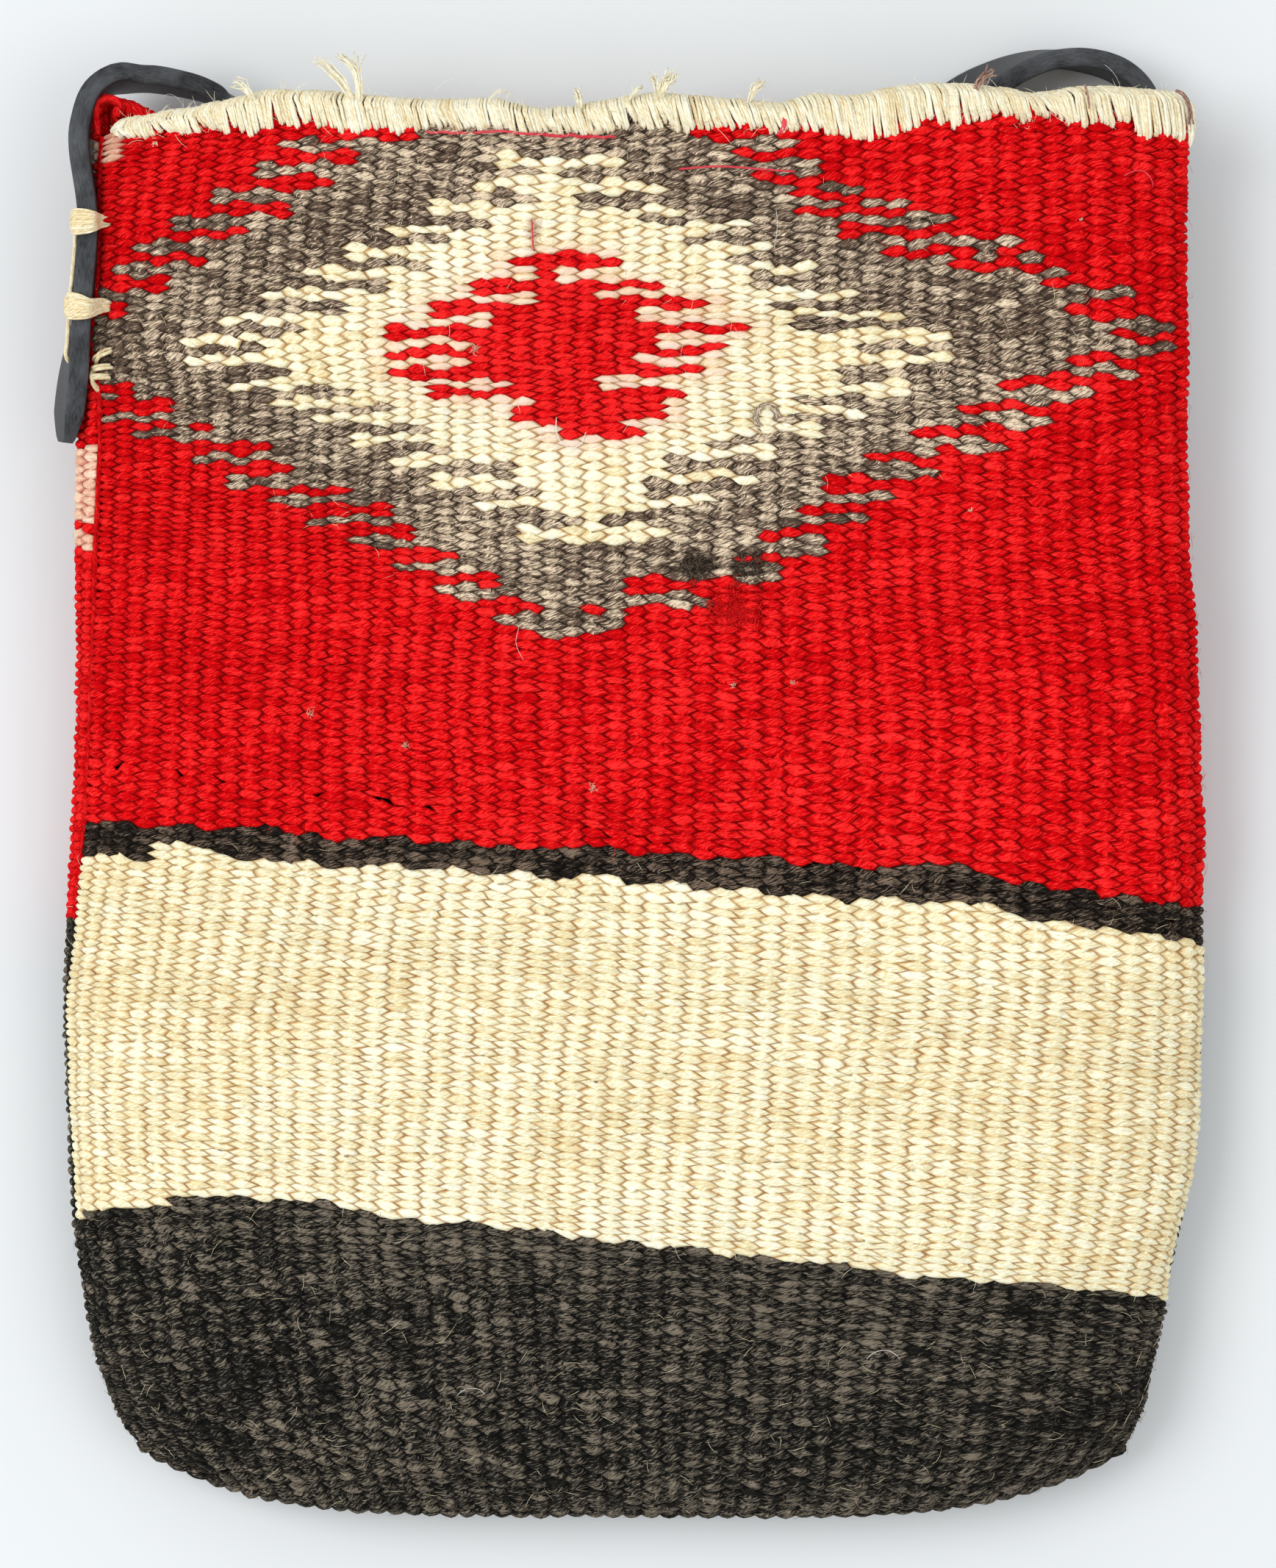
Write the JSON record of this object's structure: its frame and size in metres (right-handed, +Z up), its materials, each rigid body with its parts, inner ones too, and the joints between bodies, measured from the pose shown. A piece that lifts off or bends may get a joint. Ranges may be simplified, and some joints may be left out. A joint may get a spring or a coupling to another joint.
{
  "type": "woven handbag",
  "caption": "Flat tapestry-woven wool handbag, open at its overcast mouth, lying on its back, with a leather strap lashed to both side seams.",
  "frame": {"origin": "on the table under the middle of the bag's outline, strap loops included", "axes": "+Y towards the mouth, +X to the right as seen from above the front, +Z up from the table"},
  "size_m": [0.2396, 0.3079, 0.0378],
  "materials": {
    "wool_cloth": "weft-faced wool weave with vertical ribs, red, cream and black-brown",
    "cream_yarn": "overcast wool yarn",
    "black_leather": "thick black leather with a fibrous cut edge",
    "cream_cord": "several strands of twisted cord"
  },
  "bodies": {
    "root": {"woven_body": "wool_cloth", "mouth_overcast": "cream_yarn", "strap": "black_leather", "left_lashing": "cream_cord", "right_lashing": "cream_cord"}
  },
  "joints": []
}
